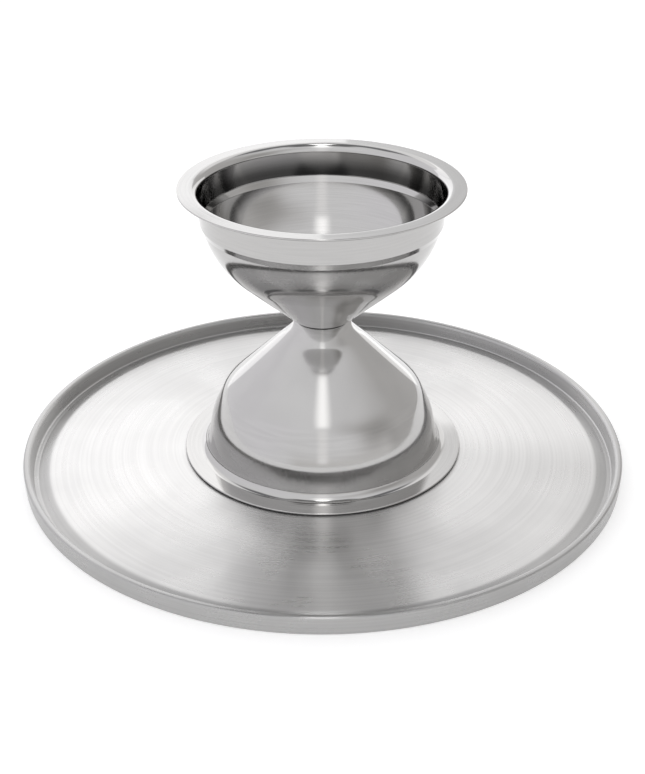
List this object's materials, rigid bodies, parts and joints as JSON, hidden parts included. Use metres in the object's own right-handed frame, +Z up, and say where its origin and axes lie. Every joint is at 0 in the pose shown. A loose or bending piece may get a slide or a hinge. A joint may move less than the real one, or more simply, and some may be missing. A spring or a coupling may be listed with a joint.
{
  "type": "communion chalice",
  "caption": "Shallow footed steel cup with a conical body and flat lip, standing on a wide round tray with a raised rim; the cup lifts off.",
  "frame": {"origin": "on the common axis, in the plane that the tray stands on", "axes": "+Z up along the axis of revolution of tray and cup; X and Y are interchangeable"},
  "size_m": [0.3178, 0.3178, 0.1524],
  "materials": {
    "tray_steel": "stainless steel, fine circular brushing on the flat middle, bright rim",
    "cup_steel": "stainless steel, spun and satin polished, nearly mirror bright",
    "fastener_steel": "plain machined stainless steel",
    "black_edging": "matt black, soft"
  },
  "bodies": {
    "tray": {"tray": "tray_steel"},
    "cup": {"foot_ring": "black_edging", "foot": "cup_steel", "bowl": "cup_steel", "neck_seal": "black_edging", "weld_stud": "fastener_steel", "plain_washer": "fastener_steel", "spring_washer": "fastener_steel", "hex_nut": "fastener_steel"}
  },
  "joints": [
    {"name": "cup_lift", "type": "slide", "parent": "tray", "child": "cup", "axis": [0, 0, 1], "range_m": [0, 0.12]}
  ]
}
